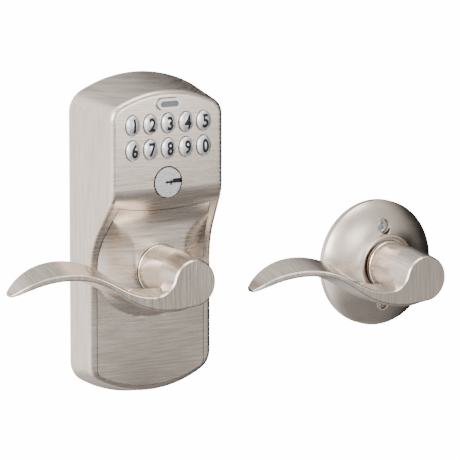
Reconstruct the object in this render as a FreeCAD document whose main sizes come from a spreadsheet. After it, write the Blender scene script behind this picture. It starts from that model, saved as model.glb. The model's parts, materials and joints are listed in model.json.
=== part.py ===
import FreeCAD, Part
import math
import os
import re
import Sketcher
from FreeCAD import Placement, Rotation, Vector

# Keypad lever lock set, in millimetres: the exterior keypad half and the interior rose half side
# by side, both backs on the door plane Y = 0.  X runs right, -Y out of the door and +Z up, and
# the origin is the exterior spindle axis on the door plane.  "Depth" is the distance out of the
# door, -Y, and every round piece whose axis isn't named turns about the depth axis.
DIMENSIONS = {
    # Escutcheon: outline at the door, draft per millimetre of depth, front profile, walls
    "shell_half_width": 38.85,
    "shell_top": 99.2,
    "shell_bottom": -66.7,
    "shell_arch": 70.0,
    "shell_sill_arch": 65.0,
    "shell_corner": 12.0,
    "shell_draft": 0.192,
    "shell_rear": 0.3,
    "shell_wall": 2.4,
    "front_wall": 4.0,
    "crease_round": 3.2,
    "pod_face": 33.3,
    "panel_face": 15.2,
    "slope_angle": 33.0,
    "slope_z": 29.5,
    "slope_depth": 27.1,
    "upper_bend": 15.3,
    "lower_bend": 37.5,
    # Front cover: seam outline, shell and pedestal
    "seam_half_width": 31.5,
    "seam_taper": 0.31,
    "seam_top": 34.3,
    "seam_sag": 2.6,
    "seam_bottom": -61.4,
    "seam_sill_arch": 63.5,
    "seam_corner": 3.5,
    "seam_gap": 0.35,
    "cover_thick": 2.2,
    "ledge_width": 2.2,
    "pedestal_depth": 25.0,
    "pedestal_radius": 14.8,
    "panel_crown": 1.8,
    "cover_bore": 13.5,
    # Keypad
    "key_pitch": 10.3,
    "key_row_upper": 76.3,
    "key_row_lower": 63.6,
    "key_half_width": 4.0,
    "key_half_height": 5.1,
    "key_gap": 0.35,
    "key_flange": 0.65,
    "key_rear": 27.6,
    "key_flange_front": 28.9,
    "key_shoulder": 32.0,
    "key_dome_centre": 31.6,
    "key_dome": 4.5,
    "function_row": 86.2,
    "function_length": 12.9,
    "function_height": 5.7,
    "function_front": 35.3,
    "inlay_length": 10.4,
    "inlay_height": 2.9,
    "inlay_deep": 0.5,
    "mat_front": 25.6,
    "mat_dome": 0.4,
    "board_rear": 22.2,
    "board_front": 23.8,
    "board_half_width": 30.6,
    "board_top": 90.0,
    "board_bottom": 55.2,
    "retainer_rear": 21.2,
    "board_screw_x": 28.6,
    "board_screw_low": 60.0,
    "board_screw_high": 74.0,
    "boss_radius": 2.3,
    # Battery, 9 V block size
    "battery_length": 48.5,
    "battery_height": 26.5,
    "battery_thick": 17.5,
    "battery_z": 57.05,
    "battery_rear": 3.3,
    # Key cylinder
    "cylinder_z": 46.1,
    "cylinder_hole": 8.3,
    "plug_face_radius": 7.6,
    "plug_radius": 6.3,
    "plug_clearance": 0.08,
    "plug_face": 33.4,
    "cylinder_radius": 8.0,
    "cylinder_rear": 8.0,
    "cylinder_front": 28.6,
    "pin_pitch": 3.8,
    "pin_radius": 1.4,
    # Lever drive, shared by both halves
    "sleeve_radius": 9.0,
    "sleeve_bore": 7.2,
    "running_gap": 0.3,
    "bush_radius": 12.0,
    "bush_flange": 13.2,
    "cage_radius": 16.2,
    "cage_wall": 1.3,
    "coil_radius": 12.2,
    "wire_radius": 1.1,
    "spindle_side": 7.0,
    "spindle_reach": 36.0,
    "neck_radius": 12.5,
    "neck_rear": 26.4,
    "neck_taper_start": 45.0,
    "lobe_radius": 11.9,
    "lobe_z": -1.6,
    "lever_front": 61.0,
    "front_bevel": 0.7,
    "catch_radius": 1.25,
    "catch_offset": 1.9,
    # Back plate, posts and interior half
    "plate_front": 2.5,
    "plate_rear": 1.0,
    "plate_inset": 3.1,
    "spindle_hole": 9.5,
    "post_spacing": 41.0,
    "post_radius": 3.2,
    "post_bore": 2.1,
    "post_reach": 30.0,
    "rose_x": 145.0,
    "rose_z": -11.9,
    "rose_radius": 33.5,
    "rose_rim": 3.8,
    "rose_wall": 1.2,
    "rose_setback": 8.8,
    "rose_screw_hole": 4.25,
    "screw_radius": 2.0,
    "screw_reach": 22.0,
    "screw_relief": 1.0,
    "screw_head": 3.5,
}

DOC = FreeCAD.newDocument("LeverLockSet")
NODES = []


def make_sheet():
    """The spreadsheet that holds every driving dimension, one alias to a row."""
    sheet = DOC.addObject("Spreadsheet::Sheet", "Dimensions")
    for row, (alias, value) in enumerate(DIMENSIONS.items(), start=1):
        sheet.set(f"A{row}", alias)
        sheet.set(f"B{row}", str(value))
        sheet.setAlias(f"B{row}", alias)
    DOC.recompute()
    return sheet


SHEET = make_sheet()


def dim(alias):
    """A driving dimension's value, read from the spreadsheet."""
    return float(SHEET.get(alias))


def bound(text):
    """An expression in which every alias points at the spreadsheet."""
    return re.sub(
        r"[a-z][a-z_]+", lambda m: f"Dimensions.{m[0]}" if m[0] in DIMENSIONS else m[0], str(text))


def node(obj, label):
    """Name a finished sub-part and put it on the list of pieces to write."""
    obj.Label = label
    NODES.append(obj)
    return obj


def face_forward(obj, x, z, depth):
    """Place an object so that its own Z axis points out of the door, with its base at a depth."""
    obj.Placement = Placement(Vector(), Rotation(Vector(1, 0, 0), 90))
    obj.setExpression("Placement.Base.x", bound(x))
    obj.setExpression("Placement.Base.y", bound(f"-({depth})"))
    obj.setExpression("Placement.Base.z", bound(z))
    return obj


def rod(name, radius, start, end, x=0, z=0):
    """A round bar along the depth axis."""
    bar = DOC.addObject("Part::Cylinder", name)
    bar.setExpression("Radius", bound(radius))
    bar.setExpression("Height", bound(f"({end}) - ({start})"))
    return face_forward(bar, x, z, start)


def block(name, left, right, low, high, start, end):
    """A block between two X, two Z and two depth values."""
    cuboid = DOC.addObject("Part::Box", name)
    cuboid.setExpression("Length", bound(f"({right}) - ({left})"))
    cuboid.setExpression("Width", bound(f"({high}) - ({low})"))
    cuboid.setExpression("Height", bound(f"({end}) - ({start})"))
    return face_forward(cuboid, left, low, start)


def fused(name, *pieces):
    """One solid from several overlapping ones."""
    union = DOC.addObject("Part::MultiFuse", name)
    union.Shapes = list(pieces)
    return union


def bundle(name, *pieces):
    """Separate solids kept together as one object."""
    group = DOC.addObject("Part::Compound", name)
    group.Links = list(pieces)
    return group


def cut(name, base, *tools):
    """A base with one or more tools taken out of it."""
    result = DOC.addObject("Part::Cut", name)
    result.Base = base
    result.Tool = tools[0] if len(tools) == 1 else fused(f"{name}_tools", *tools)
    return result


def overlap(name, base, tool):
    """The space that two solids share."""
    result = DOC.addObject("Part::Common", name)
    result.Base = base
    result.Tool = tool
    return result


def tube(name, outer, inner, start, end, x=0, z=0):
    """A round tube along the depth axis."""
    wall = rod(f"{name}_outer", outer, start, end, x, z)
    return cut(name, wall, rod(f"{name}_bore", inner, start, end, x, z))


def solid_feature(name, shape):
    """A document object for a free-form solid."""
    feature = DOC.addObject("Part::Feature", name)
    feature.Shape = shape
    return feature


def origin_plane(body, role):
    """One of a body's own origin planes."""
    return next(feature for feature in body.Origin.OriginFeatures if feature.Role == role)


def plane_sketch(body, name, role):
    """An empty sketch on one of a body's origin planes."""
    sketch = body.newObject("Sketcher::SketchObject", name)
    sketch.AttachmentSupport = [(origin_plane(body, role), "")]
    sketch.MapMode = "FlatFace"
    return sketch


def draw_polygon(sketch, corners):
    """A closed polygon whose corner coordinates, none of them negative, are bound to expressions."""
    count = len(corners)
    places = [Vector(*(float(SHEET.evalExpression(bound(text))) for text in corner), 0) for corner in corners]
    for index, place in enumerate(places):
        sketch.addGeometry(Part.LineSegment(place, places[(index + 1) % count]), False)
    for index in range(count):
        sketch.addConstraint(Sketcher.Constraint("Coincident", index, 2, (index + 1) % count, 1))
    for index, (corner, place) in enumerate(zip(corners, places)):
        for kind, axis, text, value in zip(("DistanceX", "DistanceY"), (-2, -1), corner, place):
            if value == 0:
                sketch.addConstraint(Sketcher.Constraint("PointOnObject", index, 1, axis))
                continue
            number = sketch.addConstraint(Sketcher.Constraint(kind, -1, 1, index, 1, value))
            sketch.setExpression(f"Constraints[{number}]", bound(text))


def turned(name, profile, x=0, z=0, depth=0):
    """A body turned about the depth axis, from a profile of radii and distances in front of its base."""
    body = DOC.addObject("PartDesign::Body", name)
    sketch = plane_sketch(body, f"{name}_profile", "XZ_Plane")
    draw_polygon(sketch, profile)
    spin = body.newObject("PartDesign::Revolution", f"{name}_turn")
    spin.Profile = sketch
    spin.ReferenceAxis = (sketch, ["V_Axis"])
    spin.Angle = 360
    return face_forward(body, x, z, depth)


def at(x, z, depth):
    """A point from its X, its Z and its depth."""
    return Vector(x, -depth, z)


def arched_face(half_width, top, arch, bottom, sill_arch, corner, depth):
    """A face across the depth axis: straight sides, arched ends and round corners."""

    def end(tip, radius, sign):
        centre_z = tip - sign * radius
        corner_x = half_width - corner
        corner_z = centre_z + sign * math.sqrt((radius - corner) ** 2 - corner_x ** 2)
        reach = radius / (radius - corner)
        touch = (corner_x * reach, centre_z + (corner_z - centre_z) * reach)
        turn = math.atan2(touch[1] - corner_z, touch[0] - corner_x) / 2
        middle = (corner_x + corner * math.cos(turn), corner_z + corner * math.sin(turn))
        return (half_width, corner_z), middle, touch

    side_top, bend_top, touch_top = end(top, arch, 1)
    side_low, bend_low, touch_low = end(bottom, sill_arch, -1)

    def arc(*places):
        return Part.Arc(*(at(x, z, depth) for x, z in places)).toShape()

    def line(*places):
        return Part.LineSegment(*(at(x, z, depth) for x, z in places)).toShape()

    def mirror(place):
        return (-place[0], place[1])

    return Part.Face(Part.Wire([
        line(side_low, side_top),
        arc(side_top, bend_top, touch_top),
        arc(touch_top, (0, top), mirror(touch_top)),
        arc(mirror(touch_top), mirror(bend_top), mirror(side_top)),
        line(mirror(side_top), mirror(side_low)),
        arc(mirror(side_low), mirror(bend_low), mirror(touch_low)),
        arc(mirror(touch_low), (0, bottom), touch_low),
        arc(touch_low, bend_low, side_low),
    ]))


# The escutcheon's front, seen from the side: the pod face, a bend, a slope, a bend, the panel
SLOPE = math.radians(dim("slope_angle"))
UPPER_REACH = dim("upper_bend") * math.tan(SLOPE / 2)
LOWER_REACH = dim("lower_bend") * math.tan(SLOPE / 2)
UPPER_MEET = dim("slope_z") + (dim("pod_face") - dim("slope_depth")) / math.tan(SLOPE)
LOWER_MEET = dim("slope_z") - (dim("slope_depth") - dim("panel_face")) / math.tan(SLOPE)
UPPER_START = UPPER_MEET + UPPER_REACH
LOWER_END = LOWER_MEET - LOWER_REACH
PAST_TOP = 130.0
PAST_BOTTOM = -90.0
PAST_SIDE = 60.0


def front_depth(z):
    """Depth of the escutcheon's front at a height."""
    if z >= UPPER_START:
        return dim("pod_face")
    if z > UPPER_MEET - UPPER_REACH * math.cos(SLOPE):
        rise = math.sqrt(dim("upper_bend") ** 2 - (UPPER_START - z) ** 2)
        return dim("pod_face") - dim("upper_bend") + rise
    if z > LOWER_MEET + LOWER_REACH * math.cos(SLOPE):
        return dim("slope_depth") + (z - dim("slope_z")) * math.tan(SLOPE)
    if z > LOWER_END:
        fall = math.sqrt(dim("lower_bend") ** 2 - (z - LOWER_END) ** 2)
        return dim("panel_face") + dim("lower_bend") - fall
    return dim("panel_face")


def behind_front(setback):
    """The space behind the front profile moved back by a setback, from well behind the door."""

    def point(z):
        return at(-PAST_SIDE, z, front_depth(z) - setback)

    def line(first, second):
        return Part.LineSegment(first, second).toShape()

    def bend(low, high):
        return Part.Arc(point(low), point((low + high) / 2), point(high)).toShape()

    slope_low = LOWER_MEET + LOWER_REACH * math.cos(SLOPE)
    slope_high = UPPER_MEET - UPPER_REACH * math.cos(SLOPE)
    rear_low = at(-PAST_SIDE, PAST_BOTTOM, -1)
    rear_high = at(-PAST_SIDE, PAST_TOP, -1)
    outline = Part.Wire([
        line(rear_low, point(PAST_BOTTOM)),
        line(point(PAST_BOTTOM), point(LOWER_END)),
        bend(LOWER_END, slope_low),
        line(point(slope_low), point(slope_high)),
        bend(slope_high, UPPER_START),
        line(point(UPPER_START), point(PAST_TOP)),
        line(point(PAST_TOP), rear_high),
        line(rear_high, rear_low),
    ])
    return Part.Face(outline).extrude(Vector(2 * PAST_SIDE, 0, 0))


def drafted_block(inset, start, end):
    """The escutcheon's outline, drafted inwards, between two depths and inset all round."""

    def section(depth):
        drawn_in = inset + dim("shell_draft") * depth
        return arched_face(
            dim("shell_half_width") - drawn_in,
            dim("shell_top") - drawn_in,
            dim("shell_arch") - drawn_in,
            dim("shell_bottom") + drawn_in,
            dim("shell_sill_arch") - drawn_in,
            dim("shell_corner") - drawn_in / 2,
            depth,
        ).OuterWire

    return Part.makeLoft([section(start), section(end)], True, True)


def seam_half_width(z):
    """Half width of the front cover's seam at a height, narrower where the front stands forward."""
    return dim("seam_half_width") - dim("seam_taper") * (front_depth(z) - dim("panel_face"))


def seam_face(inset, depth):
    """The front cover's outline, inset all round, as a face at a depth."""
    top_z = dim("seam_top") - inset
    half_width = dim("seam_half_width") - inset
    side_z = [top_z * step / 5 for step in range(6)]
    shoulder = seam_half_width(top_z) - inset

    def side(sign):
        flank = Part.BSplineCurve()
        flank.interpolate([at(sign * (seam_half_width(z) - inset), z, depth) for z in side_z])
        return flank.toShape()

    def upright(sign):
        foot = at(sign * half_width, low_z, depth)
        return Part.LineSegment(foot, at(sign * half_width, 0, depth)).toShape()

    sill = arched_face(
        half_width, top_z, dim("seam_sill_arch"), dim("seam_bottom") + inset,
        dim("seam_sill_arch") - inset, dim("seam_corner"), depth,
    ).OuterWire.Edges
    low_z = min(vertex.Z for vertex in sill[0].Vertexes)
    lower = [edge for edge in sill if max(vertex.Z for vertex in edge.Vertexes) < low_z + 1e-6]
    low_point = at(0, top_z - dim("seam_sag"), depth)
    sagging = (at(-shoulder, top_z, depth), low_point, at(shoulder, top_z, depth))
    edges = [Part.Arc(*sagging).toShape(), side(1), side(-1), upright(1), upright(-1), *lower]
    return Part.Face(Part.Wire(Part.__sortEdges__(edges)))


def seam_block(inset, start, end):
    """The front cover's outline as a block between two depths."""
    return seam_face(inset, start).extrude(at(0, 0, end - start))


def crease_edges(shape):
    """The edges where the escutcheon's side wall meets its front."""

    def on_front(edge):
        return all(abs(-point.y - front_depth(point.z)) < 0.02 for point in edge.discretize(5))

    def crosses(edge):
        ends = edge.discretize(3)
        return abs(ends[0].z - ends[2].z) < 1e-6 and abs(ends[1].z - ends[0].z) < 1e-6

    return [edge for edge in shape.Edges if on_front(edge) and not crosses(edge)]


def rod_shape(radius, start, end, x, z):
    """A plain round solid along the depth axis."""
    return Part.makeCylinder(radius, end - start, at(x, z, start), at(0, 0, 1))


def oval_shape(half_width, half_height, start, end, x, z):
    """An elliptical solid along the depth axis."""
    ellipse = Part.Ellipse(at(x, z + half_height, start), at(x + half_width, z, start), at(x, z, start))
    return Part.Face(Part.Wire(ellipse.toShape())).extrude(at(0, 0, end - start))


def slot_shape(length, height, start, end, x, z):
    """A round-ended solid along the depth axis."""
    reach = (length - height) / 2
    bar = Part.makeBox(2 * reach, end - start, height, at(x - reach, z - height / 2, end))
    ends = [rod_shape(height / 2, start, end, x + sign * reach, z) for sign in (1, -1)]
    return bar.multiFuse(ends).removeSplitter()


KEYS = [
    (f"key_{digit}", (column - 2) * dim("key_pitch"), dim(row))
    for row, digits in (("key_row_upper", "12345"), ("key_row_lower", "67890"))
    for column, digit in enumerate(digits)
]
BACK_SCREWS = [(22.0, 88.8), (-22.0, 88.8), (31.4, -40.0), (-31.4, -40.0)]
BOARD_SCREWS = [
    (sign * dim("board_screw_x"), dim(height))
    for sign in (-1, 1)
    for height in ("board_screw_low", "board_screw_high")
]


def escutcheon():
    """Cast shell, open at the back, with the cover's recess and window and the keypad's holes."""
    wall = dim("shell_wall")
    far = dim("pod_face") + 6
    shell = drafted_block(0, dim("shell_rear"), far).common(behind_front(0))
    shell = shell.makeFillet(dim("crease_round"), crease_edges(shell))
    hollow = drafted_block(wall, -1, far).common(behind_front(dim("front_wall")))
    recess = seam_block(0, 0, far).cut(behind_front(dim("cover_thick") + dim("seam_gap")))
    window = seam_block(dim("ledge_width"), 0, far)
    lids = shell.cut(hollow)
    boss = dim("boss_radius")
    posts = [rod_shape(boss, dim("board_front"), dim("pod_face") - 2, x, z) for x, z in BOARD_SCREWS]
    posts += [rod_shape(boss, dim("plate_front"), front_depth(z) - 2.5, x, z) for x, z in BACK_SCREWS]
    shell = lids.multiFuse(posts).common(shell)
    holes = [recess, window]
    half_width = dim("key_half_width") + dim("key_gap")
    half_height = dim("key_half_height") + dim("key_gap")
    holes += [oval_shape(half_width, half_height, 26, far, x, z) for _, x, z in KEYS]
    gap = 2 * dim("key_gap")
    holes.append(slot_shape(
        dim("function_length") + gap, dim("function_height") + gap, 26, far, 0, dim("function_row")))
    holes.append(rod_shape(dim("cylinder_hole"), 26, far, 0, dim("cylinder_z")))
    holes += [rod_shape(0.9, 20, 29.5, x, z) for x, z in BOARD_SCREWS]
    holes += [rod_shape(1.4, 0, 10, x, z) for x, z in BACK_SCREWS]
    for hole in holes:
        shell = shell.cut(hole)
    return shell


def blend(first, second, share):
    """A value between two others."""
    return first + (second - first) * min(max(share, 0.0), 1.0)


def cover_depth(x, z):
    """Depth of the front cover: a crowned panel with a raised pedestal that flares up to the pod."""
    across = min(abs(x) / dim("seam_half_width"), 1.0)
    down = max(-z, 0.0) / abs(dim("seam_bottom"))
    panel = front_depth(z) + dim("panel_crown") * (1 - across ** 2) * (1 - min(down, 1.0) ** 4)
    plateau = dim("pedestal_depth") + 4.4 * (max(z - 22.0, 0.0) / 11.0) ** 2
    edge = dim("pedestal_radius") + 11.0 * (max(z - 12.0, 0.0) / 14.0) ** 2
    if z < 0:
        reach = math.hypot(x, z)
        flank = 16.7 - 7.2 * (z / max(reach, 1e-6)) ** 2
        share = (reach - edge) / flank
    else:
        share = (abs(x) - edge) / max(seam_half_width(z) - edge, 1.5)
    return blend(plateau, panel, share)


def front_cover():
    """Pressed shell with a bore for the lever's bush."""
    step = 1.2
    columns = [index * step for index in range(-28, 29)]
    rows = [index * step for index in range(-54, 32)]
    skin = Part.BSplineSurface()
    skin.interpolate([[at(x, z, cover_depth(x, z)) for z in rows] for x in columns])
    below = skin.toShape().extrude(Vector(0, 30, 0))
    shell = below.cut(below.translated(Vector(0, dim("cover_thick"), 0)))
    shell = shell.common(seam_block(dim("seam_gap"), 2, 40))
    return shell.cut(rod_shape(dim("cover_bore"), 2, 40, 0, 0))


# Lever blade: X station, front edge depth, front top Z and bottom Z, then depth and Z of the
# rear top and the rear bottom edges
BLADE = [
    (4.0, 61.0, -6.0, -12.0, 50.0, -4.0, 58.0, -12.4),
    (-4.0, 61.0, -5.6, -13.9, 50.0, -3.4, 57.5, -14.9),
    (-14.0, 61.0, -6.0, -14.3, 50.0, -3.2, 55.0, -16.0),
    (-27.0, 60.5, -6.1, -12.3, 49.5, -3.4, 47.5, -13.2),
    (-38.0, 59.2, -2.6, -7.0, 47.5, 0.2, 46.0, -8.4),
    (-47.0, 57.6, 2.2, -0.8, 42.8, 7.0, 45.0, -3.0),
    (-56.0, 55.8, 5.8, 3.0, 38.5, 11.2, 43.5, 1.6),
    (-67.0, 52.4, 6.9, 4.0, 35.4, 12.8, 40.5, 4.0),
    (-80.0, 48.6, 5.0, 2.0, 34.0, 10.6, 38.5, 2.6),
    (-89.5, 45.6, 1.2, -1.3, 34.5, 5.0, 38.0, -0.8),
    (-95.3, 42.6, -2.1, -3.1, 37.2, -0.9, 38.5, -2.9),
]


def rounded_section(corners):
    """A closed wire through corners, each rounded by an arc."""
    count = len(corners)
    lengths = [corners[index].distanceToPoint(corners[(index + 1) % count]) for index in range(count)]
    radius = min(1.1, 0.3 * min(lengths))
    edges = []
    tangents = []
    for index, corner in enumerate(corners):
        back = (corners[index - 1] - corner).normalize()
        ahead = (corners[(index + 1) % count] - corner).normalize()
        half = back.getAngle(ahead) / 2
        reach = min(radius / math.tan(half), 0.45 * min(lengths[index - 1], lengths[index]))
        bisector = (back + ahead).normalize()
        middle = corner + bisector * (reach / math.cos(half) - reach * math.tan(half))
        tangents.append((corner + back * reach, middle, corner + ahead * reach))
    for index, (start, middle, end) in enumerate(tangents):
        edges.append(Part.Arc(start, middle, end).toShape())
        edges.append(Part.LineSegment(end, tangents[(index + 1) % count][0]).toShape())
    return Part.Wire(edges)


def inner_web(front, bevel):
    """The hollow curve that carries the lobe's edge into the blade's top edge."""
    high, middle, low = at(-11.6, 2.0, front), at(-14.3, -3.1, front), at(-22.5, -6.4, front)
    hollow = Part.Arc(high, middle, low).toShape()
    inside = [low, at(-20, -10, front), at(-4, -10, front), at(-4, 2, front), high]
    edges = [hollow]
    edges += [Part.LineSegment(first, second).toShape() for first, second in zip(inside, inside[1:])]
    web = Part.Face(Part.Wire(edges)).extrude(Vector(0, 10, 0))
    curved = [edge for edge in web.Edges if abs(edge.Length - hollow.Length) < 1e-6]
    rim = [edge for edge in curved if edge.BoundBox.YMax < 0.01 - front]
    return web.makeChamfer(bevel, rim)


def lever_shape():
    """Wave lever: a round neck that swells into a lobe, and a blade that sweeps away from it."""
    sections = [
        rounded_section([
            at(x, front_top, front),
            at(x, rear_top, rear_top_depth),
            at(x, rear_low, rear_low_depth),
            at(x, front_low, front),
        ])
        for x, front, front_top, front_low, rear_top_depth, rear_top, rear_low_depth, rear_low in BLADE
    ]
    blade = Part.makeLoft(sections, True, False)
    front = dim("lever_front")
    taper = dim("neck_taper_start")
    neck = rod_shape(dim("neck_radius"), dim("neck_rear"), taper, 0, 0)
    lobe_x = -0.3
    bevel = dim("front_bevel")

    def circle(radius, x, z, depth):
        return Part.Wire(Part.makeCircle(radius, at(x, z, depth), at(0, 0, 1)))

    lobe_end = circle(dim("lobe_radius"), lobe_x, dim("lobe_z"), front - bevel)
    lobe = Part.makeLoft([circle(dim("neck_radius"), 0, 0, taper), lobe_end], True, True)
    lobe_cap = Part.makeLoft(
        [lobe_end, circle(dim("lobe_radius") - bevel, lobe_x, dim("lobe_z"), front)], True, True)
    in_front = Part.makeBox(400, 50, 400, at(-200, -200, front + 50))
    lever = neck.multiFuse([lobe, lobe_cap, inner_web(front, bevel), blade]).cut(in_front)
    socket = rod_shape(dim("sleeve_radius"), dim("neck_rear") - 1, taper - 1, 0, 0)
    return lever.cut(socket)


def slab(outline, start, end):
    """A flat solid from a face drawn at one depth up to another."""
    return outline.extrude(at(0, 0, end - start))


def board_outline(half_width, top, bottom, depth):
    """The arched outline that the pieces behind the keypad share."""
    return arched_face(half_width, top, 60.0, bottom, 400.0, 6.0, depth)


def make_housing():
    """Escutcheon, cover, gasket, back plate with its screws, and the mounting posts."""
    node(solid_feature("escutcheon", escutcheon()), "escutcheon")
    node(solid_feature("front_cover", front_cover()), "front_cover")

    def back_outline(inset):
        return arched_face(
            dim("shell_half_width") - inset, dim("shell_top") - inset, dim("shell_arch") - inset,
            dim("shell_bottom") + inset, dim("shell_sill_arch") - inset, dim("shell_corner"), 0)

    inset = dim("plate_inset")
    window = slab(back_outline(inset + 7), 0, dim("plate_rear"))
    ring = slab(back_outline(inset), 0, dim("plate_rear")).cut(window)
    for x, z in BACK_SCREWS:
        ring = ring.cut(rod_shape(3.2, -1, 2, x, z))
    node(solid_feature("gasket", ring), "gasket")
    plate = solid_feature("back_plate_blank", slab(back_outline(inset), 0, dim("plate_front")))
    behind = block("back_plate_rear", "-50", "50", "-90", "120", "-1", "plate_rear")
    holes = [rod("back_plate_spindle_hole", "spindle_hole", "-1", "plate_front + 1")]
    holes += [rod(f"back_plate_hole_{number}", "1.5", "-1", "plate_front + 1", x, z)
              for number, (x, z) in enumerate(BACK_SCREWS, start=1)]
    node(cut("back_plate", plate, behind, *holes), "back_plate")
    screws = [
        turned(f"back_plate_screw_{number}", [
            ("0", "0"), ("2.6", "0"), ("2.6", "0.9"), ("1.4", "0.9"), ("1.4", "9"), ("0", "9"),
        ], x, z, "0.1")
        for number, (x, z) in enumerate(BACK_SCREWS, start=1)
    ]
    node(bundle("back_plate_screws", *screws), "back_plate_screws")
    posts = [
        tube(f"post_{number}", "post_radius", "post_bore", "-post_reach", "plate_rear",
             0, f"{sign} * post_spacing / 2")
        for number, sign in enumerate((1, -1), start=1)
    ]
    node(bundle("mounting_posts", *posts), "mounting_posts")


def make_key(label, x, z):
    """A domed oval key with a flange behind the escutcheon's front."""

    def oval(part, grow, start, end):
        rim = DOC.addObject("Part::Ellipse", f"{label}_{part}_rim")
        rim.setExpression("MajorRadius", bound(f"key_half_height + {grow}"))
        rim.setExpression("MinorRadius", bound(f"key_half_width + {grow}"))
        rim.Placement = Placement(
            Vector(), Rotation(Vector(0, 0, 1), Vector(1, 0, 0), Vector(0, -1, 0), "ZXY"))
        rim.setExpression("Placement.Base.x", bound(x))
        rim.setExpression("Placement.Base.y", bound(f"-({start})"))
        rim.setExpression("Placement.Base.z", bound(z))
        pushed = DOC.addObject("Part::Extrusion", f"{label}_{part}")
        pushed.Base = rim
        pushed.DirMode = "Custom"
        pushed.Dir = Vector(0, -1, 0)
        pushed.Solid = True
        pushed.setExpression("LengthFwd", bound(f"({end}) - ({start})"))
        return pushed

    dome = DOC.addObject("Part::Ellipsoid", f"{label}_dome")
    dome.setExpression("Radius1", bound("key_dome"))
    dome.setExpression("Radius2", bound("key_half_width + 1.2"))
    dome.setExpression("Radius3", bound("key_half_height + 1.5"))
    face_forward(dome, x, z, "key_dome_centre")
    tall = oval("tall", 0, "key_dome_centre", "key_dome_centre + 10")
    cap = overlap(f"{label}_cap", tall, dome)
    stem = oval("stem", 0, "key_rear", "key_shoulder")
    flange = oval("flange", "key_flange", "key_rear", "key_flange_front")
    return node(fused(label, cap, stem, flange), label)


def round_ended(name, length, height, start, end, z):
    """A bar with round ends, lying across the pod on its centre line."""
    reach = f"({length} - {height}) / 2"
    bar = block(f"{name}_bar", f"-{reach}", reach, f"{z} - {height} / 2", f"{z} + {height} / 2", start, end)
    ends = [rod(f"{name}_end_{side}", f"{height} / 2", start, end, f"{sign}{reach}", z)
            for side, sign in (("left", "-"), ("right", ""))]
    return fused(name, bar, *ends)


def make_keypad():
    """Keys, function button, mat, board with its components, retainer and screws."""
    for label, x, z in KEYS:
        make_key(label, x, z)
    body = round_ended(
        "function_body", "function_length", "function_height", "key_rear", "function_front", "function_row")
    flange = round_ended(
        "function_flange", "(function_length + 1.2)", "(function_height + 0.8)",
        "key_rear", "key_flange_front", "function_row")
    pocket = round_ended(
        "function_pocket", "(inlay_length + 0.2)", "(inlay_height + 0.2)",
        "function_front - inlay_deep", "function_front + 1", "function_row")
    node(cut("function_button", fused("function_blank", body, flange), pocket), "function_button")
    inlay = round_ended(
        "function_inlay", "inlay_length", "inlay_height", "function_front - inlay_deep",
        "function_front - 0.15", "function_row")
    node(inlay, "function_inlay")

    front, rear, shell = dim("board_front"), dim("board_rear"), dim("board_half_width")
    top, bottom = dim("board_top"), dim("board_bottom")
    mat = slab(board_outline(shell - 4.6, top - 1, bottom + 0.6, front), front, dim("mat_front"))
    domes = [
        Part.makeCone(2.4, 1.6, dim("mat_dome"), at(x, z, dim("mat_front")), at(0, 0, 1))
        for _, x, z in KEYS
    ]
    node(solid_feature("keypad_mat", mat.multiFuse(domes)), "keypad_mat")

    board = solid_feature("board_blank", slab(board_outline(shell, top, bottom, rear), rear, front))
    holes = [rod(f"board_hole_{number}", "1.1", "board_rear - 1", "board_front + 1", x, z)
             for number, (x, z) in enumerate(BOARD_SCREWS, start=1)]
    node(cut("circuit_board", board, *holes), "circuit_board")
    chips = [
        block("controller_chip", "-6", "3", "70", "79", "board_rear - 1", "board_rear"),
        block("memory_chip", "8", "14", "72", "77", "board_rear - 0.9", "board_rear"),
        block("regulator_chip", "-16", "-11", "64", "68", "board_rear - 1", "board_rear"),
        rod("buzzer", "4.2", "board_rear - 0.9", "board_rear", "17", "64.5"),
    ]
    node(bundle("board_components", *chips), "board_components")

    frame = slab(board_outline(shell, top, bottom, dim("retainer_rear")), dim("retainer_rear"), rear)
    retainer = solid_feature("retainer_blank", frame)
    window = block("retainer_window", "-26.4", "26.4", "58.2", "80", "retainer_rear - 1", "board_rear + 1")
    holes = [rod(f"retainer_hole_{number}", "1.1", "retainer_rear - 1", "board_rear + 1", x, z)
             for number, (x, z) in enumerate(BOARD_SCREWS, start=1)]
    node(cut("keypad_retainer", retainer, window, *holes), "keypad_retainer")
    screws = [
        turned(f"board_screw_{number}", [
            ("0", "0"), ("1.8", "0"), ("1.8", "1.2"), ("0.9", "1.2"), ("0.9", "8.4"), ("0", "8.4"),
        ], x, z, "retainer_rear - 1.2")
        for number, (x, z) in enumerate(BOARD_SCREWS, start=1)
    ]
    node(bundle("board_screws", *screws), "board_screws")


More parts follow.
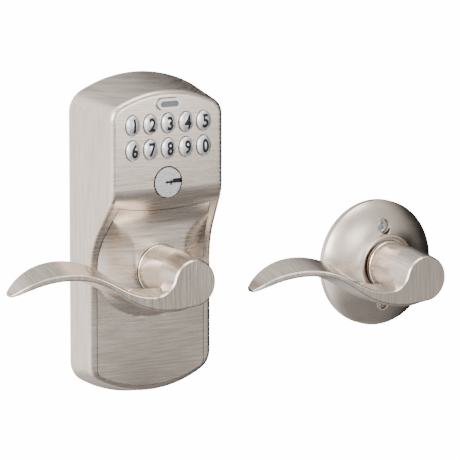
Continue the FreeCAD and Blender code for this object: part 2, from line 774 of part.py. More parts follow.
def make_power():
    """Nine-volt battery in its tray, with its snap clip and lead."""
    low, high = "battery_z", "battery_z + battery_height"
    half = "battery_length / 2"
    case = block("battery_case", f"-{half}", half, low, high, "battery_rear", "battery_rear + battery_thick")
    snap = [rod(f"battery_snap_{number}", "2.6", 0, "1.6", 0, 0) for number in (1, 2)]
    for terminal, offset in zip(snap, (-6.4, 6.4)):
        terminal.setExpression("Placement.Base.x", bound(f"-{half}"))
        terminal.setExpression("Placement.Base.y", bound("-(battery_rear + battery_thick / 2)"))
        terminal.setExpression("Placement.Base.z", bound(f"battery_z + battery_height / 2 + {offset}"))
        terminal.Placement.Rotation = Rotation(Vector(0, 1, 0), -90)
    node(fused("battery", case, *snap), "battery")
    tray = block("tray_outside", f"-{half} - 6.4", f"{half} + 1.6", f"{low} - 1.5", f"{high} + 1.5",
                 "plate_front", "12")
    inside = block("tray_inside", f"-{half} - 4.8", f"{half} + 0.1", f"{low} - 0.1", f"{high} + 0.1",
                   "battery_rear", "13")
    node(cut("battery_tray", tray, inside), "battery_tray")
    clip = block("clip_blank", f"-{half} - 4.4", f"-{half} - 0.2",
                 "battery_z + 3", "battery_z + 23.5", "5", "18")
    sockets = [rod(f"clip_socket_{number}", "2.7", 0, "2", 0, 0) for number in (1, 2)]
    for socket, offset in zip(sockets, (-6.4, 6.4)):
        socket.setExpression("Placement.Base.x", bound(f"-{half}"))
        socket.setExpression("Placement.Base.y", bound("-(battery_rear + battery_thick / 2)"))
        socket.setExpression("Placement.Base.z", bound(f"battery_z + battery_height / 2 + {offset}"))
        socket.Placement.Rotation = Rotation(Vector(0, 1, 0), -90)
    node(cut("battery_clip", clip, *sockets), "battery_clip")
    wires = [rod(f"lead_{number}", "0.65", "18", "board_rear", f"-{half} - 1.2", f"battery_z + {offset}")
             for number, offset in enumerate((9, 12), start=1)]
    node(bundle("battery_lead", *wires), "battery_lead")


def make_cylinder():
    """Pin-tumbler cylinder: shell with a chimney, pins, plug, clip and tailpiece."""
    middle = "cylinder_z"
    barrel = rod("cylinder_barrel", "cylinder_radius", "cylinder_rear", "cylinder_front", 0, middle)
    chimney = block("cylinder_chimney", "-cylinder_radius - 6.5", "-plug_radius", f"{middle} - 3.2",
                    f"{middle} + 3.2", "cylinder_rear", "cylinder_front - 2")
    bore = rod("cylinder_bore", "plug_radius + plug_clearance",
               "cylinder_rear - 1", "cylinder_front + 1", 0, middle)
    stacks = []
    shafts = []
    for number in range(1, 6):
        depth = f"cylinder_rear + 2 + pin_pitch * {number - 0.5}"
        for kind, grow, pieces in (("driver_pin", "0", stacks), ("pin_shaft", "0.05", shafts)):
            pin = rod(f"{kind}_{number}", f"pin_radius + {grow}", 0, "5", 0, 0)
            pin.setExpression("Placement.Base.x", bound("-plug_radius - plug_clearance - 0.3"))
            pin.setExpression("Placement.Base.y", bound(f"-({depth})"))
            pin.setExpression("Placement.Base.z", bound(middle))
            pin.Placement.Rotation = Rotation(Vector(0, 1, 0), -90)
            pieces.append(pin)
    node(cut("cylinder_shell", fused("cylinder_blank", barrel, chimney), bore, *shafts), "cylinder_shell")
    node(bundle("driver_pins", *stacks), "driver_pins")

    rear = "cylinder_rear - 1.4"
    stem = rod("plug_barrel", "plug_radius", rear, "plug_face - 1", 0, middle)
    face = rod("plug_flange", "plug_face_radius", "cylinder_front + 0.3", "plug_face", 0, middle)
    keyway = [
        block("keyway_slot", "-1.3", "plug_face_radius + 1", f"{middle} - 0.55", f"{middle} + 0.55",
              "cylinder_rear + 2", "plug_face + 1"),
        block("keyway_wide", "2.6", "plug_face_radius + 1", f"{middle} + 0.3", f"{middle} + 1.7",
              "cylinder_rear + 2", "plug_face + 1"),
        block("keyway_ward", "1.3", "2.2", f"{middle} - 1.5", f"{middle} + 1.1",
              "cylinder_rear + 2", "plug_face + 1"),
    ]
    node(cut("cylinder_plug", fused("plug_blank", stem, face), *keyway), "cylinder_plug")
    clip = tube("clip_ring", "plug_radius + 1", "plug_radius - 1.2", "cylinder_rear - 2.2", rear, 0, middle)
    node(clip, "plug_clip")
    tail = block("cylinder_tail", "-4", "4", f"{middle} - 0.8", f"{middle} + 0.8", "plate_front + 0.6", rear)
    node(tail, "cylinder_tailpiece")


def return_spring(name, start, x, z):
    """A C-shaped torsion spring round a lever's hub."""
    ring = DOC.addObject("Part::Torus", f"{name}_ring")
    ring.setExpression("Radius1", bound("coil_radius"))
    ring.setExpression("Radius2", bound("wire_radius"))
    ring.Angle3 = 320
    face_forward(ring, x, z, start)
    return ring


def make_drive(side, x, z, cage, cage_end, coil_start, sleeve, bush_end, catch_depth):
    """The pieces that carry one lever; cage, cage_end and the rest are depths from the door."""
    shell = rod(f"{side}_cage_outer", "cage_radius", cage, cage_end, x, z)
    room = rod(f"{side}_cage_room", "cage_radius - cage_wall", f"{cage} - 1", f"{cage_end} - 0.8", x, z)
    mouth = rod(f"{side}_cage_mouth", "sleeve_radius + running_gap", cage, f"{cage_end} + 1", x, z)
    tools = [room, mouth]
    if side == "exterior":
        tools.append(block("cage_slot", "-2.4", "2.4", "cage_radius - 4", "cage_radius + 2",
                           cage, "plate_front + 3.6"))
    node(cut(f"{side}_spring_cage", shell, *tools), f"{side}_spring_cage")
    node(return_spring(f"{side}_return_spring", coil_start, x, z), f"{side}_return_spring")
    node(turned(f"{side}_bush", [
        ("sleeve_radius + running_gap", "0"),
        ("bush_radius", "0"),
        ("bush_radius", f"{bush_end} - 3 - ({cage_end})"),
        ("bush_flange", f"{bush_end} - 2.4 - ({cage_end})"),
        ("bush_flange", f"{bush_end} - 0.4 - ({cage_end})"),
        ("bush_flange - 0.4", f"{bush_end} - ({cage_end})"),
        ("sleeve_radius + running_gap", f"{bush_end} - ({cage_end})"),
    ], x, z, cage_end), f"{side}_bush")
    node(turned(f"{side}_sleeve", [
        ("sleeve_bore", "0"),
        ("sleeve_radius", "0"),
        ("sleeve_radius", f"neck_taper_start - neck_rear + {bush_end} - 2 - ({sleeve})"),
        ("sleeve_bore", f"neck_taper_start - neck_rear + {bush_end} - 2 - ({sleeve})"),
    ], x, z, sleeve), f"{side}_sleeve")
    catch = rod(f"{side}_catch_pin", "catch_radius - 0.02", 0, "neck_radius - sleeve_radius - 0.7", 0, 0)
    catch.setExpression("Placement.Base.x", bound(f"{x} - sleeve_radius"))
    catch.setExpression("Placement.Base.y", bound(f"-({catch_depth})"))
    catch.setExpression("Placement.Base.z", bound(f"{z} + 0.5"))
    catch.Placement.Rotation = Rotation(Vector(0, 1, 0), -90)
    node(catch, f"{side}_lever_catch")


def make_levers():
    """The same wave lever on both halves, with the hole that its catch sits in."""
    shape = lever_shape()
    hole = Part.makeCylinder(
        dim("catch_radius"), 6, at(-dim("sleeve_radius") + 1, 0.5, dim("neck_rear") + dim("catch_offset")),
        Vector(-1, 0, 0))
    shape = shape.cut(hole)
    node(solid_feature("exterior_lever", shape), "exterior_lever")
    twin = solid_feature("interior_lever", shape)
    twin.setExpression("Placement.Base.x", bound("rose_x"))
    twin.setExpression("Placement.Base.y", bound("rose_setback"))
    twin.setExpression("Placement.Base.z", bound("rose_z"))
    node(twin, "interior_lever")


def square_spindle(name, hub, start, end, x, z):
    """A square spindle that reaches through the door from a round hub."""
    disc = rod(f"{name}_hub", hub, start, end, x, z)
    bar = block(f"{name}_bar", f"{x} - spindle_side / 2", f"{x} + spindle_side / 2",
                f"{z} - spindle_side / 2", f"{z} + spindle_side / 2", "-spindle_reach", end)
    return fused(name, disc, bar)


def make_clutch():
    """Motor, bracket, lead screw and slider above the outside spindle's hub."""
    spindle = square_spindle(
        "outside_spindle", "sleeve_radius - 0.5", "plate_front + 0.7", "plate_front + 3.1", 0, 0)
    node(spindle, "outside_spindle")
    deck = block("bracket_deck", "-7.5", "7.5", "28.9", "37.4", "plate_front", "plate_front + 0.7")
    cheeks = [block(f"bracket_cheek_{number}", left, right, "28.9", "37.4", "plate_front", "13")
              for number, (left, right) in enumerate((("-6.3", "-5.3"), ("5.3", "6.3")), start=1)]
    node(fused("clutch_bracket", deck, *cheeks), "clutch_bracket")
    upright = Rotation()
    motor = DOC.addObject("Part::Cylinder", "clutch_motor")
    motor.Radius = 4.9
    motor.Height = 8.2
    motor.Placement = Placement(at(0, 29.2, 8.3), upright)
    node(motor, "clutch_motor")
    screw = DOC.addObject("Part::Cylinder", "clutch_screw")
    screw.Radius = 1.5
    screw.Height = 8.4
    screw.Placement = Placement(at(0, 20.4, 8.3), upright)
    node(screw, "clutch_screw")
    slider = block("slider_block", "-4", "4", "20.8", "27", "plate_front + 0.8", "11.2")
    finger = block("slider_finger", "-1.8", "1.8", "11.3", "21", "plate_front + 0.8", "plate_front + 3")
    thread = DOC.addObject("Part::Cylinder", "slider_thread")
    thread.Radius = 1.8
    thread.Height = 12
    thread.Placement = Placement(at(0, 19, 8.3), upright)
    node(cut("clutch_slider", fused("slider_blank", slider, finger), thread), "clutch_slider")


def rose():
    """Domed round rose with a stepped collar and two countersunk screw holes."""
    radius, wall = dim("rose_radius"), dim("rose_wall")

    def dome(shrink, drop):
        curve = Part.BSplineCurve()
        curve.interpolate([
            at(radius - shrink, 0, dim("rose_rim") - drop),
            at(30.0 - shrink, 0, 6.6 - drop),
            at(25.0, 0, 9.1 - drop),
            at(20.5, 0, 11.0 - drop),
            at(16.6, 0, 13.2 - drop),
        ])
        return curve

    def polyline(*places):
        return [Part.LineSegment(at(*a), at(*b)).toShape() for a, b in zip(places, places[1:])]

    outer, inner = dome(0, 0), dome(wall, wall)
    collar = [(16.6, 0, 13.2), (16.2, 0, 14.8), (15.3, 0, 15.2), (14.6, 0, 14.7), (14.4, 0, 13.6)]
    lip = [(13.6, 0, 13.6), (13.6, 0, 12.0), (16.6, 0, 12.0)]
    high = dim("rose_rim")
    rim = [(radius, 0, high), (radius, 0, 0), (radius - wall, 0, 0), (radius - wall, 0, high - wall)]
    edges = [outer.toShape(), inner.toShape(), *polyline(*collar, *lip), *polyline(*rim)]
    profile = Part.Face(Part.Wire(Part.__sortEdges__(edges)))
    shell = profile.revolve(Vector(), Vector(0, 1, 0), 360)
    for sign in (1, -1):
        shell = shell.cut(rod_shape(dim("rose_screw_hole"), 2, 20, 0, sign * dim("post_spacing") / 2))
    return shell


def make_interior():
    """Rose, mounting plate, screw cups, machine screws and spindle of the interior half."""
    shell = solid_feature("rose", rose())
    shell.setExpression("Placement.Base.x", bound("rose_x"))
    shell.setExpression("Placement.Base.z", bound("rose_z"))
    node(shell, "rose")
    plate = rod("interior_plate_blank", "rose_radius - rose_wall - 0.5", "0", "1.5", "rose_x", "rose_z")
    spots = [f"rose_z + {sign} * post_spacing / 2" for sign in (1, -1)]
    holes = [rod("interior_plate_centre", "spindle_hole", "-1", "3", "rose_x", "rose_z")]
    holes += [rod(f"interior_plate_hole_{number}", "screw_radius + 0.3", "-1", "3", "rose_x", spot)
              for number, spot in enumerate(spots, start=1)]
    node(cut("interior_plate", plate, *holes), "interior_plate")
    cups = [
        turned(f"screw_cup_{number}", [
            ("screw_radius + 0.2", "0"), ("rose_screw_hole - 0.05", "0"), ("rose_screw_hole - 0.05", "8.4"),
            ("rose_screw_hole - 0.45", "8.4"), ("rose_screw_hole - 0.45", "4.6"),
            ("screw_radius + 0.2", "4.6"),
        ], "rose_x", spot, "1.5")
        for number, spot in enumerate(spots, start=1)
    ]
    node(bundle("screw_cups", *cups), "screw_cups")
    screws = []
    for number, spot in enumerate(spots, start=1):
        screw = turned(f"machine_screw_{number}_blank", [
            ("0", "0"), ("screw_radius", "0"), ("screw_radius", "screw_reach - screw_relief"),
            ("screw_radius - 0.25", "screw_reach - screw_relief"),
            ("screw_radius - 0.25", "screw_reach + 6.1"),
            ("screw_head", "screw_reach + 6.1"), ("screw_head", "screw_reach + 8.1"),
            ("screw_head - 1.4", "screw_reach + 8.9"), ("0", "screw_reach + 8.9"),
        ], "rose_x", spot, "-screw_reach")
        slots = [
            block(f"drive_slot_{number}_across", "rose_x - 2.2", "rose_x + 2.2",
                  f"{spot} - 0.4", f"{spot} + 0.4", "7.2", "10"),
            block(f"drive_slot_{number}_upright", "rose_x - 0.4", "rose_x + 0.4",
                  f"{spot} - 2.2", f"{spot} + 2.2", "7.2", "10"),
        ]
        screws.append(cut(f"machine_screw_{number}", screw, *slots))
    node(bundle("machine_screws", *screws), "machine_screws")
    node(square_spindle("interior_spindle", "sleeve_bore", "6", "10", "rose_x", "rose_z"), "interior_spindle")


def check_and_write():
    """Stop on any failed object, then write one STEP file for each sub-part."""
    DOC.recompute()
    failed = [obj.Label for obj in DOC.Objects if "Invalid" in obj.State or "Error" in obj.State]
    failed += [obj.Label for obj in NODES if obj.Shape.isNull() or not obj.Shape.isValid()]
    if failed:
        raise RuntimeError(f"These objects failed: {failed}")
    os.makedirs("parts", exist_ok=True)
    for obj in NODES:
        obj.Shape.exportStep(f"parts/{obj.Label}.step")
    print(f"{len(NODES)} sub-parts written")


make_housing()
make_keypad()
make_power()
make_cylinder()
make_drive("exterior", "0", "0", "plate_front", "12", "8.4", "6", "26.1", "neck_rear + catch_offset")
make_drive("interior", "rose_x", "rose_z", "1.5", "9", "5", "2.2", "neck_rear - rose_setback - 0.3",
           "neck_rear - rose_setback + catch_offset")
make_levers()
make_clutch()
make_interior()
check_and_write()
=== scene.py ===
import json
import math

import bmesh
import bpy
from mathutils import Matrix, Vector


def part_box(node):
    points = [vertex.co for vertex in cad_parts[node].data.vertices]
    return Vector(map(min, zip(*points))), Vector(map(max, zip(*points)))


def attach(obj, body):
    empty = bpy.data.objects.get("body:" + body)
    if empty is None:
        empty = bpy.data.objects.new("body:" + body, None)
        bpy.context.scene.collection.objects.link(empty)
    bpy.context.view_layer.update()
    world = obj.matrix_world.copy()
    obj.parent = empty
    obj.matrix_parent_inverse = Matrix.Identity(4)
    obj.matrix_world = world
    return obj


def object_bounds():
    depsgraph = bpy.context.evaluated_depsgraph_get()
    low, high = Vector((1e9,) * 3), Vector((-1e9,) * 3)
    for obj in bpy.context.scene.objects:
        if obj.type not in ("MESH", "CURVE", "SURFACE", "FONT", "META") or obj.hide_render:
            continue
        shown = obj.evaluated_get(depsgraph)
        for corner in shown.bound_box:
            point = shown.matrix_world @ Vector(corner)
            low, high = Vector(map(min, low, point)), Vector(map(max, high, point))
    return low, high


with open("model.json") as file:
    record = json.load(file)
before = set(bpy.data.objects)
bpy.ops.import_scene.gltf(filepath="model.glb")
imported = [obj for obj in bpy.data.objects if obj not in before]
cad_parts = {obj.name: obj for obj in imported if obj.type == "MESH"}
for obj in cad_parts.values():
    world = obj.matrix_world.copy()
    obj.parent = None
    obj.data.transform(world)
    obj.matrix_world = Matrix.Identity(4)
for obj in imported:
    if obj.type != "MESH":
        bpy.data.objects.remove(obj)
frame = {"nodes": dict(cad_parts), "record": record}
CAD_BOX = [list(corner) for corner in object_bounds()]
NODES = frame["nodes"]
MM = 0.001


# ---------------------------------------------------------------- materials

# Noise scales per metre along x, y and z: a small number draws the grain out along that axis
GRAIN = {"across": (55, 60, 1150), "upright": (1150, 60, 55)}
WALL_GRAIN = (1150, 1150, 55)
RING_SCALE = 2600.0
SCRATCH_SCALE = 420.0
MOULD_SCALE = 900.0
TRACK_SCALE = 260.0

# How far a wall's normal lies along x before the wall's own grain starts, and where it takes over
WALL_FACING = (0.55, 0.8)

# The darkest and lightest shade of each finish, as factors of its colour
GRAIN_TINT = (0.80, 1.10)
RING_TINT = (0.84, 1.08)
SCRATCH_TINT = (0.88, 1.06)
MOULD_TINT = (0.8, 1.2)

# The height of each finish's relief
GRAIN_DEPTH = 0.02 * MM
RING_DEPTH = 0.006 * MM
SCRATCH_DEPTH = 0.01 * MM
MOULD_DEPTH = 0.02 * MM
TRACK_DEPTH = 0.02 * MM


class Shader:
    """A node material with a Principled surface, and short calls that add and link its nodes."""

    def __init__(self, name, base, metallic, roughness, coat=0.0):
        self.material = bpy.data.materials.new(name)
        self.material.use_nodes = True
        self.tree = self.material.node_tree
        self.surface = self.tree.nodes["Principled BSDF"]
        self.set("Base Color", (*base, 1.0))
        self.set("Metallic", metallic)
        self.set("Roughness", roughness)
        self.set("Coat Weight", coat)

    def set(self, socket, value):
        self.surface.inputs[socket].default_value = value

    def add(self, kind, **settings):
        node = self.tree.nodes.new(kind)
        for key, value in settings.items():
            setattr(node, key, value)
        return node

    def link(self, source, target):
        self.tree.links.new(source, target)

    def noise(self, scale, stretch=(1, 1, 1), detail=3.0):
        """Noise in the object's own metres. A small stretch factor draws it out along that axis."""
        spot = self.add("ShaderNodeTexCoord")
        mapping = self.add("ShaderNodeMapping")
        mapping.inputs["Scale"].default_value = stretch
        texture = self.add("ShaderNodeTexNoise")
        texture.inputs["Scale"].default_value = scale
        texture.inputs["Detail"].default_value = detail
        self.link(spot.outputs["Object"], mapping.inputs["Vector"])
        self.link(mapping.outputs["Vector"], texture.inputs["Vector"])
        return texture.outputs["Fac"]

    def mix(self, share, first, second):
        node = self.add("ShaderNodeMix", data_type="FLOAT")
        self.link(share, node.inputs["Factor"])
        self.link(first, node.inputs["A"])
        self.link(second, node.inputs["B"])
        return node.outputs["Result"]

    def ranged(self, source, low, high, start=0.25, end=0.75):
        """A value spread between two others as the source runs from start to end."""
        node = self.add("ShaderNodeMapRange")
        node.inputs["From Min"].default_value = start
        node.inputs["From Max"].default_value = end
        node.inputs["To Min"].default_value = low
        node.inputs["To Max"].default_value = high
        self.link(source, node.inputs["Value"])
        return node.outputs["Result"]

    def tint(self, source, dark, light):
        """The base colour, from a dark to a light shade along the source."""
        node = self.add("ShaderNodeMix", data_type="RGBA")
        self.link(source, node.inputs["Factor"])
        node.inputs["A"].default_value = (*dark, 1.0)
        node.inputs["B"].default_value = (*light, 1.0)
        self.link(node.outputs["Result"], self.surface.inputs["Base Color"])

    def roughen(self, source, low, high):
        """The roughness, from one value to another along the source."""
        self.link(self.ranged(source, low, high), self.surface.inputs["Roughness"])

    def bump(self, source, distance):
        """A relief of this height along the source."""
        node = self.add("ShaderNodeBump")
        node.inputs["Distance"].default_value = distance
        self.link(source, node.inputs["Height"])
        self.link(node.outputs["Normal"], self.surface.inputs["Normal"])


def shade(color, factor):
    """A colour made darker or lighter."""
    return tuple(min(channel * factor, 1.0) for channel in color)


def shades(color, factors):
    """The dark and the light shade of a colour."""
    return [shade(color, factor) for factor in factors]


def facing(shader, axis, start, end):
    """How far a surface faces along one of the object's axes, either way."""
    geometry = shader.add("ShaderNodeNewGeometry")
    split = shader.add("ShaderNodeSeparateXYZ")
    shader.link(geometry.outputs["Normal"], split.inputs["Vector"])
    size = shader.add("ShaderNodeMath", operation="ABSOLUTE")
    shader.link(split.outputs[axis], size.inputs[0])
    return shader.ranged(size.outputs[0], 0.0, 1.0, start, end)


def brushed(name, color, roughness, front="across", sides=True):
    """Satin metal with a brushed grain: one way on its front, upright on its side walls."""
    shader = Shader(name, color, 1.0, roughness)
    grain = shader.noise(1.0, GRAIN[front], 4.0)
    if sides:
        upright = shader.noise(1.0, WALL_GRAIN, 4.0)
        grain = shader.mix(facing(shader, "X", *WALL_FACING), grain, upright)
    cloud = shader.noise(60.0, detail=2.0)
    shader.tint(shader.ranged(grain, 0.0, 1.0, 0.3, 0.7), *shades(color, GRAIN_TINT))
    worn = shader.add("ShaderNodeMath", operation="ADD")
    shader.link(shader.ranged(grain, -0.05, 0.06), worn.inputs[0])
    shader.link(shader.ranged(cloud, roughness - 0.02, roughness + 0.03), worn.inputs[1])
    shader.link(worn.outputs[0], shader.surface.inputs["Roughness"])
    shader.bump(grain, GRAIN_DEPTH)
    return shader.material


def turned_metal(name, color, roughness, centre):
    """Satin metal brushed round an axis that points out of the door."""
    shader = Shader(name, color, 1.0, roughness)
    spot = shader.add("ShaderNodeTexCoord")
    shift = shader.add("ShaderNodeVectorMath", operation="SUBTRACT")
    shift.inputs[1].default_value = centre
    flat = shader.add("ShaderNodeVectorMath", operation="MULTIPLY")
    flat.inputs[1].default_value = (1, 0, 1)
    size = shader.add("ShaderNodeVectorMath", operation="LENGTH")
    shader.link(spot.outputs["Object"], shift.inputs[0])
    shader.link(shift.outputs["Vector"], flat.inputs[0])
    shader.link(flat.outputs["Vector"], size.inputs[0])
    rings = shader.add("ShaderNodeTexNoise", noise_dimensions="1D")
    rings.inputs["Scale"].default_value = RING_SCALE
    rings.inputs["Detail"].default_value = 3.0
    shader.link(size.outputs["Value"], rings.inputs["W"])
    cloud = shader.noise(90.0, detail=3.0)
    both = shader.add("ShaderNodeMath", operation="MULTIPLY_ADD")
    both.inputs[1].default_value = 0.5
    shader.link(rings.outputs["Fac"], both.inputs[0])
    shader.link(shader.ranged(cloud, 0.0, 0.5, 0.2, 0.8), both.inputs[2])
    shader.tint(shader.ranged(both.outputs[0], 0.0, 1.0, 0.3, 0.7), *shades(color, RING_TINT))
    shader.roughen(cloud, roughness - 0.03, roughness + 0.04)
    shader.bump(rings.outputs["Fac"], RING_DEPTH)
    return shader.material


def machined(name, color, roughness, metallic=1.0):
    """Plain metal with fine scratches and a little unevenness."""
    shader = Shader(name, color, metallic, roughness)
    scratch = shader.noise(SCRATCH_SCALE, (1, 1, 3), 5.0)
    shader.tint(shader.ranged(scratch, 0.0, 1.0), *shades(color, SCRATCH_TINT))
    shader.roughen(scratch, roughness - 0.06, roughness + 0.08)
    shader.bump(scratch, SCRATCH_DEPTH)
    return shader.material


def moulded(name, color, roughness, grain=MOULD_SCALE):
    """Moulded plastic or rubber with a fine grain."""
    shader = Shader(name, color, 0.0, roughness)
    texture = shader.noise(grain, detail=2.0)
    shader.tint(shader.ranged(texture, 0.0, 1.0), *shades(color, MOULD_TINT))
    shader.roughen(texture, roughness - 0.05, roughness + 0.08)
    shader.bump(texture, MOULD_DEPTH)
    return shader.material


def circuit_green():
    """Solder mask with paler copper tracks under it."""
    shader = Shader("circuit_green", (0.03, 0.16, 0.07), 0.0, 0.35, coat=0.4)
    tracks = shader.add("ShaderNodeTexBrick")
    tracks.inputs["Scale"].default_value = TRACK_SCALE
    tracks.inputs["Mortar Size"].default_value = 0.06
    tracks.inputs["Color1"].default_value = (0.0, 0.0, 0.0, 1.0)
    tracks.inputs["Color2"].default_value = (0.25, 0.25, 0.25, 1.0)
    tracks.inputs["Mortar"].default_value = (1.0, 1.0, 1.0, 1.0)
    spot = shader.add("ShaderNodeTexCoord")
    turn = shader.add("ShaderNodeMapping")
    turn.inputs["Rotation"].default_value = (math.radians(90), 0, 0)
    shader.link(spot.outputs["Object"], turn.inputs["Vector"])
    shader.link(turn.outputs["Vector"], tracks.inputs["Vector"])
    shader.tint(tracks.outputs["Color"], (0.02, 0.13, 0.055), (0.06, 0.26, 0.10))
    shader.bump(tracks.outputs["Fac"], TRACK_DEPTH)
    return shader.material


NICKEL = (0.82, 0.71, 0.61)
ROSE_LOW, ROSE_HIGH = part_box("rose")
ROSE_CENTRE = (ROSE_LOW + ROSE_HIGH) / 2
FINISHES = {
    "satin_nickel": brushed("satin_nickel_brushed", NICKEL, 0.27),
    "lever_nickel": brushed(
        "lever_nickel_brushed", shade(NICKEL, 0.95), 0.22, "upright", sides=False),
    "key_silver": machined("key_silver_satin", (0.84, 0.85, 0.86), 0.33, 0.8),
    "inlay_grey": moulded("inlay_grey_gloss", (0.16, 0.16, 0.165), 0.3, 1400.0),
    "plug_face": machined("plug_face_satin", (0.82, 0.82, 0.82), 0.24),
    "zinc_steel": machined("zinc_steel_plate", (0.62, 0.63, 0.64), 0.34),
    # Brass colour, darkened below bright brass as painted shade so the parts seen through the gaps
    # stay dim
    "brass": machined("brass_machined_shaded", (0.52, 0.40, 0.22), 0.34),
    "black_rubber": moulded("black_rubber_matte", (0.03, 0.03, 0.03), 0.75),
    "board_green": circuit_green(),
    "black_plastic": moulded("black_plastic_moulded", (0.04, 0.04, 0.042), 0.5),
    "battery_case": machined("battery_case_can", (0.10, 0.10, 0.11), 0.35, 0.6),
    "lead_black": moulded("lead_black_sleeve", (0.03, 0.03, 0.03), 0.55),
    "spring_steel": machined("spring_steel_wire", (0.42, 0.42, 0.43), 0.3),
}
ROSE_NICKEL = turned_metal("rose_nickel_turned", NICKEL, 0.27, ROSE_CENTRE)
COLLAR_NICKEL = machined("collar_nickel_smooth", shade(NICKEL, 1.05), 0.2)
ROSE_NODES = ("rose",)
COLLAR_NODES = ("interior_bush", "exterior_bush", "screw_cups")


def finish_nodes():
    """Give every CAD node the finish of its slot, or the one its own shape asks for."""
    for part in frame["record"]["subparts"]:
        material = FINISHES[part["material_slot"]]
        if part["node"] in ROSE_NODES:
            material = ROSE_NICKEL
        if part["node"] in COLLAR_NODES:
            material = COLLAR_NICKEL
        NODES[part["node"]].material_slots[0].material = material


# ---------------------------------------------------------------- digits

DOME_CENTRE = 31.6 * MM
DOME_AXES = (5.2 * MM, 4.5 * MM, 6.6 * MM)
DIGIT_HEIGHT = 7.0 * MM
DIGIT_NARROWING = 0.78
DIGIT_WEIGHT = 0.034
INK_LIFT = 0.03 * MM
INK_THICKNESS = 0.08 * MM

# Digits are cut up, at one unit high, until they can bend over their key's dome
MERGE_WITHIN = 1e-5
LONGEST_EDGE = 0.12
CUTTING_ROUNDS = 3


def digit_outline(text):
    """A flat triangulated mesh of one bold digit, one unit high about its centre."""
    curve = bpy.data.curves.new(f"digit_{text}_outline", "FONT")
    curve.body = text
    curve.offset = DIGIT_WEIGHT
    curve.resolution_u = 6
    holder = bpy.data.objects.new(f"digit_{text}_outline", curve)
    bpy.context.scene.collection.objects.link(holder)
    bpy.context.view_layer.update()
    depsgraph = bpy.context.evaluated_depsgraph_get()
    flat = bpy.data.meshes.new_from_object(holder.evaluated_get(depsgraph))
    bpy.data.objects.remove(holder)
    low = Vector([min(vertex.co[axis] for vertex in flat.vertices) for axis in range(3)])
    high = Vector([max(vertex.co[axis] for vertex in flat.vertices) for axis in range(3)])
    middle = (low + high) / 2
    for vertex in flat.vertices:
        vertex.co = (vertex.co - middle) / (high.y - low.y)
    return flat


def make_digit(text):
    """A printed digit that lies on its key's dome."""
    key = f"key_{text}"
    low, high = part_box(key)
    centre = (low + high) / 2
    mesh = digit_outline(text)
    work = bmesh.new()
    work.from_mesh(mesh)
    bmesh.ops.remove_doubles(work, verts=work.verts, dist=MERGE_WITHIN)
    for _ in range(CUTTING_ROUNDS):
        bmesh.ops.triangulate(work, faces=work.faces)
        too_long = [edge for edge in work.edges if edge.calc_length() > LONGEST_EDGE]
        bmesh.ops.subdivide_edges(work, edges=too_long, cuts=1)
    bmesh.ops.triangulate(work, faces=work.faces)
    for vertex in work.verts:
        x = vertex.co.x * DIGIT_HEIGHT * DIGIT_NARROWING
        z = vertex.co.y * DIGIT_HEIGHT
        rise = math.sqrt(1 - (x / DOME_AXES[0]) ** 2 - (z / DOME_AXES[2]) ** 2)
        depth = DOME_CENTRE + DOME_AXES[1] * rise + INK_LIFT
        vertex.co = (centre.x + x, -depth, centre.z + z)
    bmesh.ops.recalc_face_normals(work, faces=work.faces)
    work.to_mesh(mesh)
    work.free()
    digit = bpy.data.objects.new(f"digit_{text}", mesh)
    bpy.context.scene.collection.objects.link(digit)
    thick = digit.modifiers.new("ink", "SOLIDIFY")
    thick.thickness = INK_THICKNESS
    thick.offset = 0
    digit.data.materials.append(INK_AND_SHADE)
    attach(digit, key)


# Black for the printed digits, and also for the painted shade that fills the keyway
INK_AND_SHADE = moulded("digit_ink_and_keyway_shade", (0.004, 0.004, 0.004), 0.7)

# The keyway's outline round the plug's axis, and the depths between which a black block of painted
# shade fills it, in millimetres
KEYWAY = [
    (-1.2, -0.5), (1.35, -0.5), (1.35, -1.45), (2.15, -1.45), (2.15, -0.5),
    (7.3, -0.5), (7.3, 1.6), (2.65, 1.6), (2.65, 0.5),
    (2.15, 0.5), (2.15, 1.05), (1.35, 1.05), (1.35, 0.5), (-1.2, 0.5),
]
SHADE_BLOCK_DEPTHS = (31.4, 32.6)


def make_keyway_painted_shade():
    """Painted shade: a black block that fills the keyway, whose inside lies in shade, and turns
    with the plug.
    """
    low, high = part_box("cylinder_shell")
    axis_z = (low.z + high.z) / 2
    count = len(KEYWAY)
    places = [(x * MM, -depth * MM, axis_z + z * MM) for depth in SHADE_BLOCK_DEPTHS for x, z in KEYWAY]
    faces = [tuple(range(count)), tuple(range(2 * count - 1, count - 1, -1))]
    faces += [(i, (i + 1) % count, count + (i + 1) % count, count + i) for i in range(count)]
    mesh = bpy.data.meshes.new("keyway_painted_shade")
    mesh.from_pydata(places, [], faces)
    work = bmesh.new()
    work.from_mesh(mesh)
    bmesh.ops.triangulate(work, faces=work.faces)
    bmesh.ops.recalc_face_normals(work, faces=work.faces)
    work.to_mesh(mesh)
    work.free()
    shade_block = bpy.data.objects.new("keyway_painted_shade", mesh)
    bpy.context.scene.collection.objects.link(shade_block)
    # The block is painted shade, in the same black as the digits' ink
    shade_block.data.materials.append(INK_AND_SHADE)
    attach(shade_block, "plug")


# ---------------------------------------------------------------- stage

FLOOR_DROP = 0.10
FLOOR_REACH = 8.0
FLOOR_GLOW = 14.0

# The studio's brightness is the product of these ramps. Each runs from its low to its high value as
# the view turns toward its direction, and the two numbers after the direction say where
WORLD_RAMPS = (
    ((0.95, 0.30, -0.05), 0.38, 0.88, 1.0, 0.01),
    ((0.30, -0.50, -0.75), 0.55, 0.97, 1.0, 0.34),
    ((-1.0, 0.0, 0.1), 0.1, 0.65, 1.0, 2.3),
    ((-0.3, -0.4, 0.9), 0.35, 0.9, 1.0, 1.3),
)
WORLD_STRENGTH = 0.78

# Each light's name, place, aim, size and power
LIGHTS = (
    ("key", (-0.9, -0.7, 0.45), (0.02, 0, 0), 0.7, 9.0),
    ("top", (0.1, -0.3, 1.0), (0.05, 0, 0), 0.6, 4.0),
    ("panel", (0.17, -0.52, 0.12), (-0.03, 0, 0.06), 0.22, 0.62),
)

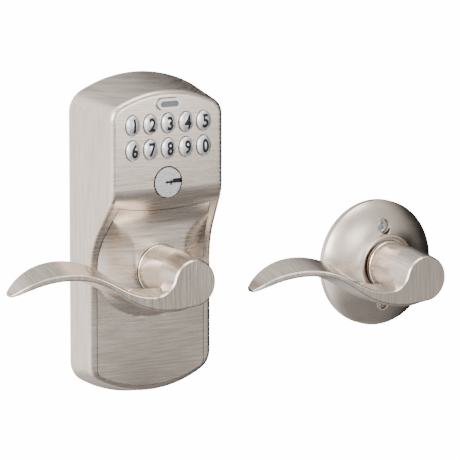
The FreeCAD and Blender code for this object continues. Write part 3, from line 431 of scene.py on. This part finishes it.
CAMERA_TARGET = Vector((0.0415, -0.025, 0.01705))
CAMERA_DISTANCE = 2.2
CAMERA_AZIMUTH = math.radians(-31.0)
CAMERA_ELEVATION = math.radians(9.2)
CAMERA_SENSOR = 36.0
CAMERA_LENS = 335.7
CAMERA_REACH = 50.0


def make_floor():
    """A wide white floor some way below the lock set, which glows but doesn't light the metal."""
    floor_mesh = bpy.data.meshes.new("floor")
    level = CAD_BOX[0][2] - FLOOR_DROP
    signs = ((-1, -1), (1, -1), (1, 1), (-1, 1))
    corners = [(x * FLOOR_REACH, y * FLOOR_REACH, level) for x, y in signs]
    floor_mesh.from_pydata(corners, [], [(0, 1, 2, 3)])
    floor = bpy.data.objects.new("floor", floor_mesh)
    bpy.context.scene.collection.objects.link(floor)
    shader = Shader("floor_paper", (0.95, 0.95, 0.95), 0.0, 0.9)
    shader.set("Emission Color", (1.0, 1.0, 1.0, 1.0))
    shader.set("Emission Strength", FLOOR_GLOW)
    floor.data.materials.append(shader.material)
    floor.visible_glossy = False
    floor.visible_diffuse = False


def make_world():
    """A soft white studio, darker to the right and below, and brighter to the left and above."""
    world = bpy.data.worlds.new("studio")
    bpy.context.scene.world = world
    world.use_nodes = True
    tree = world.node_tree
    background = tree.nodes["Background"]
    spot = tree.nodes.new("ShaderNodeTexCoord")

    def ramp(direction, start, end, low, high):
        toward = tree.nodes.new("ShaderNodeVectorMath")
        toward.operation = "DOT_PRODUCT"
        toward.inputs[1].default_value = Vector(direction).normalized()
        spread = tree.nodes.new("ShaderNodeMapRange")
        spread.interpolation_type = "SMOOTHSTEP"
        spread.inputs["From Min"].default_value = start
        spread.inputs["From Max"].default_value = end
        spread.inputs["To Min"].default_value = low
        spread.inputs["To Max"].default_value = high
        tree.links.new(spot.outputs["Generated"], toward.inputs[0])
        tree.links.new(toward.outputs["Value"], spread.inputs["Value"])
        return spread.outputs["Result"]

    level, *others = [ramp(*settings) for settings in WORLD_RAMPS]
    for side in others:
        product = tree.nodes.new("ShaderNodeMath")
        product.operation = "MULTIPLY"
        tree.links.new(level, product.inputs[0])
        tree.links.new(side, product.inputs[1])
        level = product.outputs["Value"]
    tree.links.new(level, background.inputs["Color"])
    background.inputs["Strength"].default_value = WORLD_STRENGTH


def area_light(name, place, aim, size, power):
    """A soft square light that looks at a point."""
    light = bpy.data.lights.new(name, "AREA")
    light.shape = "SQUARE"
    light.size = size
    light.energy = power
    lamp = bpy.data.objects.new(name, light)
    lamp.location = place
    lamp.rotation_mode = "QUATERNION"
    lamp.rotation_quaternion = (Vector(aim) - Vector(place)).to_track_quat("-Z", "Y")
    bpy.context.scene.collection.objects.link(lamp)


def make_lights():
    """A broad key light from the left front, a smaller one above, and a near panel on the right."""
    for settings in LIGHTS:
        area_light(*settings)


def make_camera():
    """A long lens to the left of the lock set and a little above it."""
    back = Vector((
        math.sin(CAMERA_AZIMUTH) * math.cos(CAMERA_ELEVATION),
        -math.cos(CAMERA_AZIMUTH) * math.cos(CAMERA_ELEVATION),
        math.sin(CAMERA_ELEVATION),
    ))
    lens = bpy.data.cameras.new("camera")
    lens.sensor_width = CAMERA_SENSOR
    lens.lens = CAMERA_LENS
    lens.clip_end = CAMERA_REACH
    camera = bpy.data.objects.new("camera", lens)
    camera.location = CAMERA_TARGET + back * CAMERA_DISTANCE
    camera.rotation_mode = "QUATERNION"
    camera.rotation_quaternion = (-back).to_track_quat("-Z", "Y")
    bpy.context.scene.collection.objects.link(camera)
    bpy.context.scene.camera = camera


make_camera()
make_world()
make_lights()
make_floor()
finish_nodes()
for name in "1234567890":
    make_digit(name)
make_keyway_painted_shade()
